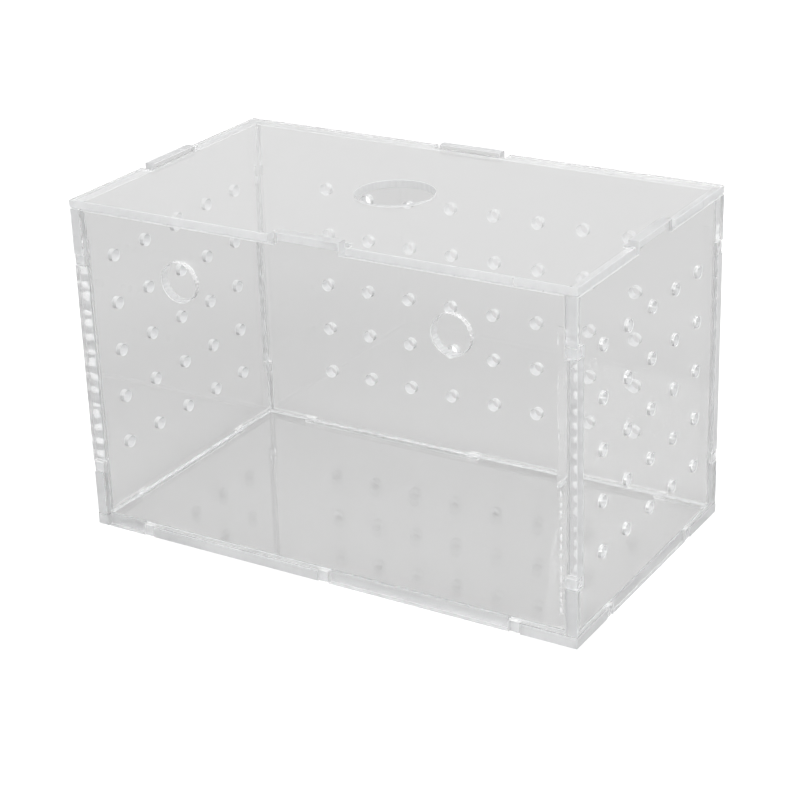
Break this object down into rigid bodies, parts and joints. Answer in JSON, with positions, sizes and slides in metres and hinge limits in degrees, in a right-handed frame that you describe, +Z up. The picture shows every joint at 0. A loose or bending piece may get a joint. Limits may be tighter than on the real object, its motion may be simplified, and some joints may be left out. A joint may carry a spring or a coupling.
{
  "type": "fish breeding box",
  "caption": "Clear acrylic isolation box that hangs inside a fish tank: finger-jointed drilled walls, suction cup holes and a loose lid with a round feeding hole.",
  "frame": {"origin": "middle of the underside, on the surface that the box stands on", "axes": "+X to the right along the long front, +Y from the front wall with the suction cup holes to the back, +Z up"},
  "size_m": [0.14, 0.08, 0.09],
  "materials": {
    "floor_acrylic": "clear polished acrylic sheet, laser-cut edges",
    "front_acrylic": "clear polished acrylic sheet, laser-cut edges",
    "back_acrylic": "clear polished acrylic sheet, laser-cut edges and holes",
    "side_acrylic": "clear polished acrylic sheet, laser-cut edges and holes",
    "lid_acrylic": "clear polished acrylic sheet, laser-cut edges and feeding hole"
  },
  "bodies": {
    "tank": {"floor_panel": "floor_acrylic", "front_wall": "front_acrylic", "back_wall": "back_acrylic", "left_wall": "side_acrylic", "right_wall": "side_acrylic"},
    "lid": {"lid": "lid_acrylic"}
  },
  "joints": [
    {"name": "lid_lift", "type": "slide", "parent": "tank", "child": "lid", "axis": [0, 0, 1], "range_m": [0, 0.06]}
  ]
}
